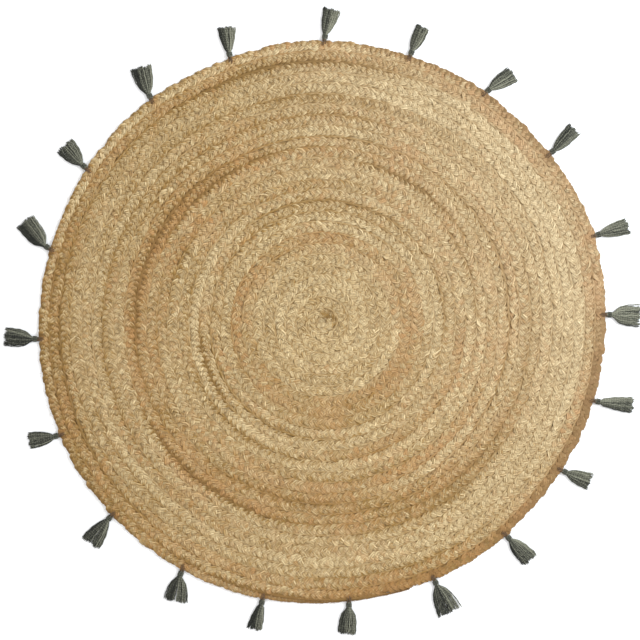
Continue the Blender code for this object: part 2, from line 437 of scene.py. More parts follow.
def add_bake_map(mesh, tube, ring, side, sides, pieces_long, columns):
    """Lays the tubes side by side in rows on the square map that the colours are kept on."""
    margin_along, margin_around = MAP_MARGIN_ALONG * columns, MAP_MARGIN_AROUND
    quads = numbers(mesh.loops, "vertex_index", int).reshape(-1, 4)
    first = ring[quads].min(axis=1)
    length = math.ceil(ring.max() / pieces_long)
    part = tube[quads[:, 0]] * pieces_long + first // length
    row, column = divmod(part, columns)
    rows = math.ceil((tube.max() + 1) * pieces_long / columns)
    along = (ring[quads] - (first // length * length)[:, None]) / length
    around = side[quads] / sides
    u = (column[:, None] + margin_along + (1 - 2 * margin_along) * along) / columns
    v = (row[:, None] + margin_around + (1 - 2 * margin_around) * around) / rows
    layer = mesh.uv_layers.new(name="OFBake")
    layer.data.foreach_set("uv", np.stack([u, v], -1).astype(np.float32).ravel())


def round_section(sides):
    """The corners of a round tube's section, from the top, for a half width and height of 1."""
    turn = math.tau * np.arange(sides) / sides
    return np.stack([-np.sin(turn), np.cos(turn)], -1)


def new_object(name, data):
    made = bpy.data.objects.new(name, data)
    bpy.context.scene.collection.objects.link(made)
    return made


def make_tubes(name, middle, wide, high, lay, section, values, pieces_long=1, columns=1):
    """A piece made of closed tubes: a grid with one column of vertices for each ring, rolled up.

    middle, wide and high are arrays of tube, ring and XYZ: the middle of each ring, and its half
    width and half height. lay is each ring's distance along its yarn. values are kept by ring.
    """
    sides = len(section)
    tubes, rings = middle.shape[:2]
    columns_of_rings = tubes * rings - 1
    bm = bmesh.new()
    bmesh.ops.create_grid(bm, x_segments=columns_of_rings, y_segments=sides, size=1.0)
    if tubes > 1:
        between = []
        for face in bm.faces:
            column = (face.calc_center_median().x + 1) / 2 * columns_of_rings - 0.5
            if (round(column) + 1) % rings == 0:
                between.append(face)
        bmesh.ops.delete(bm, geom=between, context="FACES")
    mesh = bpy.data.meshes.new(name)
    bm.to_mesh(mesh)

    place = numbers(mesh.vertices, "co", float, 3)
    column = np.rint((place[:, 0] + 1) / 2 * columns_of_rings).astype(int)
    side = np.rint((place[:, 1] + 1) / 2 * sides).astype(int)
    tube, ring = divmod(column, rings)
    outward, upward = section[side % sides].T
    place = middle[tube, ring] + wide[tube, ring] * outward[:, None]
    place += high[tube, ring] * upward[:, None]
    place[:, 2] = np.maximum(place[:, 2], CLEAR_OF_FLOOR)
    mesh.vertices.foreach_set("co", place.astype(np.float32).ravel())

    half_wide = np.linalg.norm(wide, axis=-1)[tube, ring]
    half_high = np.linalg.norm(high, axis=-1)[tube, ring]
    yarn = np.stack([lay[tube, ring], half_wide * outward, half_high * upward], -1)
    add_values(mesh, "lay", "FLOAT_VECTOR", yarn + 0.37 * tube[:, None])
    add_values(mesh, "across", "FLOAT", outward)
    for key, numbers_by_ring in values.items():
        add_values(mesh, key, "FLOAT", numbers_by_ring[tube, ring])
    add_bake_map(mesh, tube, ring, side, sides, pieces_long, columns)

    bm.clear()
    bm.from_mesh(mesh)
    seam = [vert for vert in bm.verts if vert.is_boundary]
    bmesh.ops.remove_doubles(bm, verts=seam, dist=0.001 * MM)
    ends = [edge for edge in bm.edges if edge.is_boundary]
    bmesh.ops.holes_fill(bm, edges=ends, sides=sides)
    bmesh.ops.recalc_face_normals(bm, faces=bm.faces)
    bm.to_mesh(mesh)
    bm.free()
    mesh.shade_smooth()
    piece = new_object(name, mesh)
    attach(piece, "root")
    return piece


def make_yarns(name, middle, thick, lay, sides, columns, **values):
    """A piece made of round yarns, from arrays by yarn and ring."""
    wide, high = (way * thick[..., None] for way in crossways(middle))
    section = round_section(sides)
    return make_tubes(name, middle, wide, high, lay, section, values, columns=columns)


def make_tube(name, middle, wide, high, lay, section, pieces_long, **values):
    """A piece made of one closed tube, from arrays by ring."""
    arrays = [by_ring[None] for by_ring in (middle, wide, high, lay)]
    values = {key: by_ring[None] for key, by_ring in values.items()}
    return make_tubes(name, *arrays, section, values, pieces_long=pieces_long)


def rounded_ends(count):
    """How thick a tube is at each of its rings, so that it closes in at both ends."""
    thick = np.ones(count)
    thick[0] = thick[-1] = END_THICKNESS
    return thick


# ---------------- the plait

RINGS_A_PERIOD = 7
RINGS_A_BEND = RINGS_A_PERIOD / 2
RIM_FROM = COIL_TURNS - 1
BEND_SHARPNESS = 0.1  # of the strands' bends, 0 being a sine wave
RIM_FLATNESS = 0.21  # how far the strands' outer bends are flattened along the rim
WIDTH_SPREAD = 0.14  # of a strand's width
HEIGHT_SPREAD = 0.1  # of its thickness
SIDE_WANDER = 1.1 * MM
RISE_WANDER = 0.45 * MM
ROLL_WANDER = 0.2  # radians
OPEN_SHARE = 0.6  # of the overlap that an open seam takes away
# How much darker, or lighter, a strand is for where it lies: painted light and shade, and a stain.
# THIN_LIGHT is painted light, STAIN_SHADE the root stain, and the other SHADEs painted shade.
THIN_LIGHT = 2.4
RIM_SHADE = 1.2
HOLLOW_SHADE = 6.0
OPEN_SEAM_SHADE = 1.3
SEAM_SHADE = 2.6
STAIN_SHADE = 1.5
LATE_DIP = 0.3  # radians of the pattern by which a strand stays on top past the plait's edge
PLY_VALLEY = 0.33
# A strand's section, half its width and height being 1: three plies above, and flatter below
STRAND_SECTION = np.array(
    [
        (0.0, 1.0),
        (-PLY_VALLEY, 0.25),
        (-0.66, 0.92),
        (-1.0, 0.1),
        (-0.5, -0.9),
        (0.5, -0.9),
        (1.0, 0.1),
        (0.66, 0.92),
        (PLY_VALLEY, 0.25),
    ]
)


def plait_line(settings):
    """Even steps of the plait's pattern: their turns, distances along the plait, and phases."""
    turn = np.linspace(FIRST_TURN, COIL_TURNS, 60000)
    line = coil_place(turn, 0.5)
    steps = steps_along(line)
    shares = plait_share((turn[1:] + turn[:-1]) / 2)
    rng = np.random.default_rng(SEED)
    shares *= 1 + 0.1 * settings.unevenness * wandering(rng, len(steps), spacing=60)
    phase = summed(steps / (settings.lobe_length * shares**0.6))
    count = int(phase[-1] * RINGS_A_PERIOD)
    even = np.arange(count) / RINGS_A_PERIOD
    length = np.interp(even, phase, summed(steps))
    return np.interp(even, phase, turn), length, math.tau * even


def make_strand(number, settings):
    """One of the three strands, all the way along the coil."""
    rng = np.random.default_rng(SEED + number)
    turn, length, phase = plait_line(settings)
    count = len(turn)
    phase = phase + math.tau * number / 3
    share = plait_share(turn)
    thin = 0.5 + 0.5 * share
    uneven = settings.unevenness
    half_wide = settings.strand_width / 2 * share**0.8
    half_wide *= 1 + WIDTH_SPREAD * uneven * wandering(rng, count, spacing=3)
    half_high = settings.strand_thickness / 2 * thin
    half_high *= 1 + HEIGHT_SPREAD * uneven * wandering(rng, count, spacing=5)
    outside = np.sin(phase) > 0
    at_rim = np.where(outside, eased((turn - RIM_FROM) / LOT_SPLICE), 0.0)
    sharpness = BEND_SHARPNESS - RIM_FLATNESS * at_rim
    across_share = (np.sin(phase) - sharpness * np.sin(3 * phase)) / (1 + sharpness)
    opening = np.where(outside, seam_opening(turn), seam_opening(turn - 1))
    beside_seam = opening * np.abs(across_share)
    shade = np.where(outside, seam_shade(turn), seam_shade(turn - 1)) * across_share**4
    closing = 0.3 * wandering(np.random.default_rng(SEED + 60), count, spacing=70) - 0.1
    apart = np.maximum(OPEN_SHARE * opening, at_rim)
    overlap = settings.overlap * np.maximum(1 + closing - apart, 0.0)
    across = across_share * ((PLAIT_WIDTH - settings.strand_width) / 2 + overlap) * share
    across += SIDE_WANDER * uneven * share * wandering(rng, count, spacing=5)
    above = settings.strand_thickness * thin / 2
    above += settings.lift * thin * (1 + np.sin(2 * phase - LATE_DIP))
    above += RISE_WANDER * uneven * wandering(rng, count, spacing=RINGS_A_BEND)

    line = coil_place(turn, 0.5)
    ahead = unit(np.gradient(line, axis=0))
    outward = np.stack([ahead[:, 1], -ahead[:, 0]], -1)
    line = line + outward * across[:, None]
    sunk = hollow_share(line)
    above -= np.minimum(HOLLOW_DEPTH * sunk, above - half_high)
    middle = np.concatenate([line, above[:, None]], 1)
    wide, high = crossways(middle)
    roll = settings.roll * np.sin(phase) + ROLL_WANDER * uneven * wandering(rng, count, spacing=3)
    tipped = wide * np.cos(roll)[:, None] - high * np.sin(roll)[:, None]
    high = high * np.cos(roll)[:, None] + wide * np.sin(roll)[:, None]
    ends = rounded_ends(count)
    light, red = lot_of(turn)
    stained = root_stain(line)
    light = light + 0.3 * wandering(rng, count, spacing=RINGS_A_BEND)
    light += 0.35 * wandering(rng, count, spacing=60)
    light += 0.55 * wandering(np.random.default_rng(SEED + 61), count, spacing=90)
    # Painted light where the plait is thin, and painted shade at the rim, in the hollow and in the seams
    light += THIN_LIGHT * (1 - share) * (1 - at_rim) - RIM_SHADE * at_rim * np.abs(across_share)
    light -= HOLLOW_SHADE * sunk + OPEN_SEAM_SHADE * beside_seam
    light -= SEAM_SHADE * shade + STAIN_SHADE * stained
    red = red + 0.3 * wandering(rng, count, spacing=30)
    red += 0.25 * wandering(rng, count, spacing=RINGS_A_BEND) + stained
    return make_tube(
        f"plait_strand_{number + 1}",
        middle,
        tipped * (half_wide * ends)[:, None],
        high * (half_high * ends)[:, None],
        length + 60.0 * number,
        STRAND_SECTION,
        pieces_long=43,
        light=light,
        red=red,
    )


SEAM_STATIONS = 64  # a turn
SEAM_FIRST_TURN = 0.05
SEAM_SIDES = 5
SEAM_WIDTH = 9.0 * MM
SEAM_HEIGHT = 4.2 * MM
SEAM_TOP = 6.8 * MM
# Painted shade on the thread low in the seams: how much darker than the plait it is, and more so in
# shaded and in open seams
THREAD_SHADE = 0.7
DARK_SEAM_THREAD = 1.6
OPEN_SEAM_THREAD = 1.8


def make_seam_thread():
    """The thread that sews each turn to the next, low down between them."""
    turn = np.arange(SEAM_FIRST_TURN, COIL_TURNS - 1.0, 1 / SEAM_STATIONS)
    count = len(turn)
    share = plait_share(turn)[:, None]
    thin = np.maximum(0.5 + 0.5 * share, 0.72)
    line = coil_place(turn, 1.0)
    middle = np.concatenate([line, (SEAM_TOP - SEAM_HEIGHT / 2) * thin], 1)
    ahead = unit(np.gradient(middle, axis=0))
    wide = np.cross(ahead, (0.0, 0.0, 1.0)) * SEAM_WIDTH / 2 * (1.8 - 0.8 * share)
    high = np.zeros((count, 3)) + (0.0, 0.0, SEAM_HEIGHT / 2)
    ends = rounded_ends(count)[:, None]
    light, red = lot_of(turn)
    # Painted shade, low down in the seams
    light -= THREAD_SHADE + DARK_SEAM_THREAD * seam_shade(turn)
    light -= OPEN_SEAM_THREAD * seam_opening(turn)
    return make_tube(
        "seam_thread",
        middle,
        wide * ends,
        high * ends,
        summed(steps_along(line)) + 200.0,
        round_section(SEAM_SIDES),
        pieces_long=60,
        light=light,
        red=red,
    )


# ---------------- the tassels


class TasselPath:
    """The way a tassel lies: its skirt leans to one side, and its neck half as much."""

    def __init__(self, row):
        angle = math.radians(row.angle_deg)
        half_neck = NECK_WIDTH / 2 / (PLAIT_WIDTH * COIL_TURNS)
        seat = [rim_place(angle + step) for step in (-half_neck, 0.0, half_neck)]
        along_rim = unit(seat[2] - seat[0])
        out = np.array([along_rim[1], -along_rim[0]])
        self.root = (seat[0] + seat[2]) / 2
        self.root += out * (GAP + max((p - self.root) @ out for p in seat))
        lean = math.radians(row.lean_deg)
        self.neck = heading(angle + lean * NECK_LEAN)
        self.skirt = heading(angle + lean)

    def place(self, along, aside, above):
        """Points at a distance from the root, off to the left of the tassel's middle, and up."""
        bend = eased((along - BEND_FROM) / BEND_LENGTH)[..., None]
        way = unit(self.neck * (1 - bend) + self.skirt * bend)
        middle = self.root + self.neck * np.minimum(along, NECK_LENGTH)[..., None]
        middle = middle + self.skirt * np.maximum(along - NECK_LENGTH, 0.0)[..., None]
        left = np.stack([-way[..., 1], way[..., 0]], -1)
        flat = middle + left * aside[..., None]
        return np.concatenate([flat, above[..., None]], -1)


def sunflower(count):
    """Places spread evenly over a disc of radius 1."""
    step = np.arange(count) + 0.5
    reach, turn = np.sqrt(step / count), step * math.pi * (3 - math.sqrt(5))
    return reach * np.cos(turn), reach * np.sin(turn)


YARN_RINGS = 19
YARN_SIDES = 5
YARN_START = -3.0 * MM  # from the root
CRIMP_LENGTH = 17.0 * MM
# A bundle's form at these distances from the root. The last three half widths are shares of the
# spread, and a yarn's thickness is a share of its full one.
STOPS = np.array([0.0, 13.5, 18.0, 27.0, 42.0, 80.0]) * MM
HALF_WIDE = np.array([4.4, 4.4, 8.0]) * MM
HALF_HIGH = np.array([2.6, 2.6, 3.4, 3.3, 2.8, 1.9]) * MM
OFF_FLOOR = np.array([1.9, 1.9, 0.6, 0.4, 0.3, 0.2]) * MM
YARN_SHARES = (0.6, 0.6, 0.8, 1.0, 1.05, 1.05)
SKIRT_SHARES = np.array([0.32, 0.42, 0.5])
FULLNESS = np.array([0.06, 0.045, -0.01])  # by how much those differ from tassel to tassel
OPEN_FROM = 16.0 * MM  # where the locks of a skirt start to part
OPEN_LENGTH = 50.0 * MM
# The tassels are lighter on the right in the photograph, probably by its light. That is kept as
# colour here.
LIGHT_SIDE = math.radians(20)
LIGHT_WITHIN = 2.0  # how much lighter the yarns of a tassel are on that side of it
LIGHT_AROUND = 0.6  # how much lighter the tassels are on that side of the rug


def make_tassel(number, row, settings):
    """A bundle of cotton yarns: squeezed at the neck, fanned out flat and ragged at the ends."""
    rng = np.random.default_rng(SEED + 100 + number)
    path = TasselPath(row)
    count = settings.yarns
    u, v = sunflower(count)
    u, v = u + 0.05 * rng.normal(size=count), v + 0.05 * rng.normal(size=count)
    column = np.clip(((u + 1) / 2 * LOCK_COLUMNS).astype(int), 0, LOCK_COLUMNS - 1)
    ragged = np.array(RAGGED)[(column + 2 * (v > 0) + int(row.angle_deg)) % len(RAGGED)]
    reach = row.length_mm * MM * (0.55 + 0.45 * ragged) * (1 - 0.05 * rng.random(count))
    share = np.linspace(0, 1, YARN_RINGS)[None] ** 0.9
    along = YARN_START + (reach[:, None] - YARN_START) * share

    skirt = row.spread_mm * MM * (SKIRT_SHARES + rng.uniform(-1, 1) * FULLNESS)
    half_wide = np.interp(along, STOPS, [*HALF_WIDE, *skirt])
    half_high = np.interp(along, STOPS, HALF_HIGH)
    floor = np.interp(along, STOPS, OFF_FLOOR)
    lock = (2 * column + 1) / LOCK_COLUMNS - 1
    open_share = eased((along - OPEN_FROM) / OPEN_LENGTH)
    gathered = u[:, None] + (lock - u)[:, None] * 0.12 * open_share
    aside = gathered * half_wide
    aside += np.sign(u)[:, None] * row.parting_mm * MM / 2 * open_share
    wave = rng.random((count, 3)) * math.tau
    crimp = math.tau * along / CRIMP_LENGTH + wave[:, :1]
    aside += 0.6 * MM * open_share * np.sin(crimp * (0.8 + 0.4 * rng.random((count, 1))))
    aside += 1.3 * MM * open_share**2 * rng.normal(size=(count, 1))
    thick = np.interp(along, STOPS, YARN_SHARES) * settings.yarn_thickness / 2
    rise = (v * np.sqrt(np.maximum(1 - u**2, 0.1)))[:, None]
    above = floor + thick + half_high * (1 + rise)
    above += 0.35 * MM * open_share * np.sin(crimp * 1.3 + wave[:, 1:2])

    middle = path.place(along, aside, np.maximum(above, thick))
    thick = thick * rounded_ends(YARN_RINGS)
    left = np.array([-path.skirt[1], path.skirt[0]])
    towards = heading(LIGHT_SIDE)
    lit = LIGHT_WITHIN * u * (left @ towards) + LIGHT_AROUND * (path.skirt @ towards)
    shade = np.repeat((rng.normal(size=count) + lit)[:, None], YARN_RINGS, 1)
    name = f"tassel_yarns_{number:02d}"
    return make_yarns(name, middle, thick, along, YARN_SIDES, columns=3, light=shade)


BINDING_RINGS_A_TURN = 22
BINDING_LIGHT = -0.4
NECK_OFF_FLOOR = 1.3 * MM


def make_binding(number, row, settings):
    """The thread wound round and round a tassel's neck."""
    path = TasselPath(row)
    count = settings.binding_turns * BINDING_RINGS_A_TURN
    share = np.linspace(0, 1, count)
    thread = (BINDING_TO - BINDING_FROM) / settings.binding_turns / 2
    turn = share * settings.binding_turns * math.tau
    along = BINDING_FROM + thread + (BINDING_TO - BINDING_FROM - 2 * thread) * share
    aside = (NECK_WIDTH / 2 + GAP) * np.cos(turn)
    above = NECK_OFF_FLOOR + NECK_HEIGHT / 2 + (NECK_HEIGHT / 2 + GAP) * np.sin(turn)
    middle = path.place(along, aside, above)
    run = unit(np.gradient(middle, axis=0))
    neck = np.array([*path.neck, 0.0])
    wide = unit(neck - run * (run @ neck)[:, None])
    high = np.cross(wide, run)
    thick = thread * 1.08 * rounded_ends(count)
    return make_tube(
        f"neck_binding_{number:02d}",
        middle,
        wide * thick[:, None],
        high * thick[:, None],
        summed(steps_along(middle)),
        round_section(YARN_SIDES),
        pieces_long=6,
        light=np.full(count, BINDING_LIGHT),
    )


STITCHES = ((-2.8, -11.0), (0.2, -14.0), (2.9, -10.0))  # mm aside, and mm in from the rim
STITCH_RINGS = 9
STITCH_SIDES = 5
STITCH_END = 3.5 * MM  # beyond the rim
STITCH_THICKNESS = 1.7 * MM
STITCH_TOP = 10.0 * MM
STITCH_INNER_FOOT = 6.0 * MM
STITCH_FOOT = 5.2 * MM


def make_root_stitches():
    """The stitches that hold each tassel, from inside the rim over it to the neck."""
    rng = np.random.default_rng(SEED + 300)
    share = np.linspace(0, 1, STITCH_RINGS)
    rise = (STITCH_INNER_FOOT, STITCH_TOP, STITCH_TOP, STITCH_FOOT)
    above = np.interp(share, (0, 0.12, 0.75, 1), rise)
    middles = []
    for row in TASSELS:
        path = TasselPath(row)
        for aside_mm, start_mm in STITCHES:
            start = (start_mm + rng.normal()) * MM
            along = start + (STITCH_END - start) * share
            aside = (aside_mm + 0.4 * rng.normal()) * MM * (1.15 - 0.35 * share)
            middles.append(path.place(along, aside, above - STITCH_THICKNESS / 2))
    middle = np.array(middles)
    thick = STITCH_THICKNESS / 2 * rounded_ends(STITCH_RINGS)[None]
    lay = np.repeat((share * 12 * MM)[None], len(middle), 0)
    return make_yarns("root_stitches", middle, thick, lay, STITCH_SIDES, columns=6)


# ---------------- stray fibres

FIBRE_RINGS = 6
FIBRE_SIDES = 3
FIBRE_HALF_THICKNESS = 0.14 * MM
RIM_FIBRES = 0.25  # of all the stray fibres


def make_stray_fibres(settings):
    """Fibre ends that stand off the plait, most of them lying nearly along it."""
    rng = np.random.default_rng(SEED + 900)
    count = settings.stray_fibres
    turn = COIL_TURNS * np.sqrt(0.001 + 0.999 * rng.random(count))
    across = rng.random(count)
    at_rim = rng.random(count) < RIM_FIBRES
    turn = np.where(at_rim, COIL_TURNS - rng.random(count), turn)
    across = np.where(at_rim, 1.0, across)
    root = coil_place(turn, across)
    ahead = unit(coil_place(turn + 0.001, across) - root)
    facing = np.arctan2(ahead[:, 1], ahead[:, 0]) + rng.normal(size=count) * 0.6
    facing += math.pi * (rng.random(count) < 0.5)
    bend = rng.normal(size=count) * 0.8
    length = (8 + 16 * rng.random(count)) * MM
    share = np.linspace(0, 1, FIBRE_RINGS)[None]
    direction = facing[:, None] + bend[:, None] * share
    step = length[:, None] / (FIBRE_RINGS - 1)
    run_x = np.cumsum(np.cos(direction) * step, axis=1)
    run_y = np.cumsum(np.sin(direction) * step, axis=1)
    rise = (7.6 + 1.4 * rng.random((count, 1))) * MM
    rise = np.where(at_rim[:, None], 4.5 * MM * rng.random((count, 1)) + 1.5 * MM, rise)
    rise = rise + 3.2 * MM * rng.random((count, 1)) * np.sin(share * math.pi * 0.8)
    middle = np.stack([root[:, :1] + run_x, root[:, 1:] + run_y, rise], -1)
    thick = FIBRE_HALF_THICKNESS * (1 - 0.6 * share)
    light = np.repeat(0.9 + 0.5 * rng.normal(size=(count, 1)), FIBRE_RINGS, 1)
    return make_yarns(
        "stray_fibres",
        middle,
        thick,
        share * length[:, None],
        FIBRE_SIDES,
        columns=20,
        light=light,
        red=np.zeros_like(light),
    )


# ---------------- the finishes


# The jute is paler on the side that the light comes from: painted light, kept as colour.
PAINTED_LIGHT_SIDE = math.radians(25)
PAINTED_LIGHT_REACH = 0.6  # metres from the middle to where it is palest
TWIST_LENGTH = 5.0 * MM  # of cotton yarn, in which its two plies go halfway round


class Sheet:
    """A node tree that is filled in from left to right."""

    def __init__(self, tree):
        self.tree = tree

    def node(self, kind, settings=None, **inputs):
        """Adds a node. Its inputs are values or other nodes' outputs."""
        made = self.tree.nodes.new(kind)
        for key, value in (settings or {}).items():
            setattr(made, key, value)
        self.feed(made, **inputs)
        return made

    def feed(self, node, **inputs):
        """Sets or links a node's inputs, by name or by number as i0."""
        for key, value in inputs.items():
            socket = node.inputs[int(key[1:]) if key[1:].isdigit() else key.replace("_", " ")]
            if isinstance(value, bpy.types.NodeSocket):
                self.tree.links.new(value, socket)
            else:
                socket.default_value = value

    def first(self, kind, settings, *values):
        """Adds a node with its inputs in order, and returns its first output."""
        inputs = {f"i{index}": value for index, value in enumerate(values)}
        return self.node(kind, settings, **inputs).outputs[0]

    def maths(self, operation, *values, clamp=False):
        return self.first("ShaderNodeMath", {"operation": operation, "use_clamp": clamp}, *values)

    def off_middle(self, value):
        """How far a value is from halfway between two whole numbers."""
        return self.maths("ABSOLUTE", self.maths("SUBTRACT", self.maths("FRACT", value), 0.5))

    def attribute(self, name, output="Fac"):
        return self.node("ShaderNodeAttribute", {"attribute_name": name}).outputs[output]

    def mapped(self, value, low, high, to_low=0.0, to_high=1.0):
        return self.first("ShaderNodeMapRange", {"clamp": True}, value, low, high, to_low, to_high)

    def mixed(self, share, first, second):
        settings = {"data_type": "RGBA", "clamp_factor": True}
        made = self.node("ShaderNodeMix", settings, i0=share, i6=first, i7=second)
        return made.outputs[2]

    def noise(self, vector, scale, detail=2.0, roughness=0.5):
        made = self.node(
            "ShaderNodeTexNoise",
            {"noise_dimensions": "3D"},
            Vector=vector,
            Scale=scale,
            Detail=detail,
            Roughness=roughness,
        )
        return made.outputs["Fac"]

    def moved(self, vector, **inputs):
        settings = {"vector_type": "POINT"}
        return self.node("ShaderNodeMapping", settings, Vector=vector, **inputs).outputs[0]

    def part(self, vector, axis):
        return self.node("ShaderNodeSeparateXYZ", Vector=vector).outputs[axis]

    def streaks(self, lay, fineness, length):
        """The coarse and the fine streaks of fibre along a yarn or strand."""
        settings = {"node_tree": fibre_group()}
        made = self.node("ShaderNodeGroup", settings, Lay=lay, Fineness=fineness, Length=length)
        return made.outputs["Streaks"], made.outputs["Fine Streaks"]


def new_group(name, inputs, outputs):
    """A node group with named inputs and outputs, and its sheet."""
    tree = bpy.data.node_groups.new(name, "ShaderNodeTree")
    for key, kind, value in inputs:
        socket = tree.interface.new_socket(key, in_out="INPUT", socket_type=kind)
        if value is not None:
            socket.default_value = value
    for key, kind in outputs:
        tree.interface.new_socket(key, in_out="OUTPUT", socket_type=kind)
    sheet = Sheet(tree)
    source = tree.nodes.new("NodeGroupInput")
    result = tree.nodes.new("NodeGroupOutput")
    return tree, sheet, source.outputs, result.inputs


def fibre_group():
    """Streaks of fibre along a yarn or strand, from the way that it lies."""
    found = bpy.data.node_groups.get("fibre_streaks")
    if found:
        return found
    tree, sheet, source, result = new_group(
        "fibre_streaks",
        [
            ("Lay", "NodeSocketVector", None),
            ("Fineness", "NodeSocketFloat", 1400.0),
            ("Length", "NodeSocketFloat", 40.0),
        ],
        [("Streaks", "NodeSocketFloat"), ("Fine Streaks", "NodeSocketFloat")],
    )
    fineness = source["Fineness"]
    stretch = sheet.first("ShaderNodeCombineXYZ", {}, source["Length"], fineness, fineness)
    placed = sheet.first("ShaderNodeVectorMath", {"operation": "MULTIPLY"}, source["Lay"], stretch)
    coarse = sheet.noise(placed, 1.0, 2.0, 0.6)
    fine = sheet.noise(placed, 2.9, 2.0, 0.6)
    tree.links.new(sheet.mapped(coarse, 0.28, 0.72), result["Streaks"])
    tree.links.new(sheet.mapped(fine, 0.3, 0.7), result["Fine Streaks"])
    return tree


def ply_group():
    """The yarns side by side in each ply of a strand: the grooves between them, and their tones."""
    tree, sheet, source, result = new_group(
        "strand_yarns",
        [
            ("Lay", "NodeSocketVector", None),
            ("Across", "NodeSocketFloat", 0.0),
            ("Yarns", "NodeSocketFloat", 2.4),
            ("Tone Length", "NodeSocketFloat", 13 * MM),
        ],
        [("Groove", "NodeSocketFloat"), ("Tone", "NodeSocketFloat")],
    )
    along = sheet.part(source["Lay"], "X")
    drift = sheet.noise(sheet.moved(source["Lay"], Scale=(70.0, 70.0, 70.0)), 1.0, 1.0)
    place = sheet.maths("MULTIPLY", source["Across"], source["Yarns"])
    place = sheet.maths("MULTIPLY_ADD", drift, 1.2, place)
    across = sheet.off_middle(place)
    yarn = sheet.node(
        "ShaderNodeCombineXYZ",
        X=sheet.maths("DIVIDE", along, source["Tone Length"]),
        Y=sheet.maths("MULTIPLY", sheet.maths("FLOOR", place), 7.31),
    ).outputs[0]
    tree.links.new(sheet.mapped(across, 0.28, 0.5), result["Groove"])
    tree.links.new(sheet.mapped(sheet.noise(yarn, 1.0, 1.0), 0.3, 0.7), result["Tone"])
    return tree


def colour4(colour):
    return (*colour, 1.0)


def new_finish(name):
    finish = bpy.data.materials.new(name)
    finish.use_nodes = True
    return finish, Sheet(finish.node_tree), finish.node_tree.nodes["Principled BSDF"]


def jute_finish(colours):
    """Plaited jute: pale and honey fibres in streaks, redder lots, dark flecks, painted shade in its
    grooves and painted light on one side.
    """
    finish, sheet, shader = new_finish("plaited_jute")
    lay = sheet.attribute("lay", "Vector")
    light = sheet.attribute("light")
    red = sheet.attribute("red")
    place = sheet.node("ShaderNodeTexCoord").outputs["Object"]

    coarse, fine = sheet.streaks(lay, 900.0, 140.0)
    over = sheet.attribute("across")
    plies = sheet.node("ShaderNodeGroup", {"node_tree": ply_group()}, Lay=lay, Across=over)
    ply_groove, ply_tone = plies.outputs["Groove"], plies.outputs["Tone"]

    patches = sheet.noise(place, 9.0, 3.0, 0.55)
    tone = sheet.maths("MULTIPLY_ADD", light, 0.16, 0.015)
    tone = sheet.maths("MULTIPLY_ADD", coarse, 0.24, tone)
    tone = sheet.maths("MULTIPLY_ADD", fine, 0.06, tone)
    tone = sheet.maths("MULTIPLY_ADD", ply_tone, 0.7, tone)
    tone = sheet.maths("ADD", tone, sheet.mapped(patches, 0.3, 0.7, -0.06, 0.06), clamp=True)
    colour = sheet.mixed(tone, colour4(colours.honey), colour4(colours.straw))
    redness = sheet.maths("ADD", red, sheet.mapped(patches, 0.3, 0.7, -0.4, 0.4))
    redness = sheet.mapped(redness, 0.0, 1.3, 0.0, 0.75)
    colour = sheet.mixed(redness, colour, colour4(colours.russet))

    # Painted light: the jute mixed towards a pale colour on the side that the light comes from
    turned = sheet.moved(place, Rotation=(0.0, 0.0, -PAINTED_LIGHT_SIDE))
    paler = sheet.mapped(sheet.part(turned, "X"), 0.0, PAINTED_LIGHT_REACH, 0.0, 0.18)
    colour = sheet.mixed(paler, colour, colour4(colours.painted_light_colour))

    # Painted shade: darker low down, in the valleys between the plies and in the grooves between yarns
    height = sheet.part(place, "Z")
    groove = sheet.mapped(height, 5.0 * MM, 8.4 * MM, 0.6, 0.0)
    valley = sheet.maths("SUBTRACT", sheet.maths("ABSOLUTE", over), PLY_VALLEY)
    valley = sheet.mapped(sheet.maths("ABSOLUTE", valley), 0.03, 0.15, 0.42, 0.0)
    groove = sheet.maths("MAXIMUM", groove, valley)
    groove = sheet.maths("MAXIMUM", groove, sheet.maths("MULTIPLY", ply_groove, 0.45))
    flecks = sheet.noise(sheet.moved(lay, Scale=(240.0, 420.0, 420.0)), 1.0, 1.0)
    flecks = sheet.mapped(flecks, 0.56, 0.70, 0.0, 0.6)
    dark = sheet.maths("MAXIMUM", groove, flecks)
    # Painted shade where the light value is far down: in the hollow, the seams and at the rim
    dark = sheet.maths("MAXIMUM", dark, sheet.mapped(light, -4.0, -1.5, 0.6, 0.0))
    colour = sheet.mixed(dark, colour, colour4(colours.fleck_and_groove_shade))
    roughness = sheet.mapped(fine, 0.0, 1.0, 0.75, 0.5)
    relief = sheet.maths("MULTIPLY_ADD", fine, 0.5, coarse)
    relief = sheet.maths("MULTIPLY_ADD", ply_groove, -1.5, relief)
    bump = sheet.node("ShaderNodeBump", Strength=0.45, Distance=0.7 * MM, Height=relief)
    sheet.feed(shader, Base_Color=colour, Roughness=roughness, Normal=bump.outputs[0])
    shader.inputs["Specular IOR Level"].default_value = 0.12
    return finish


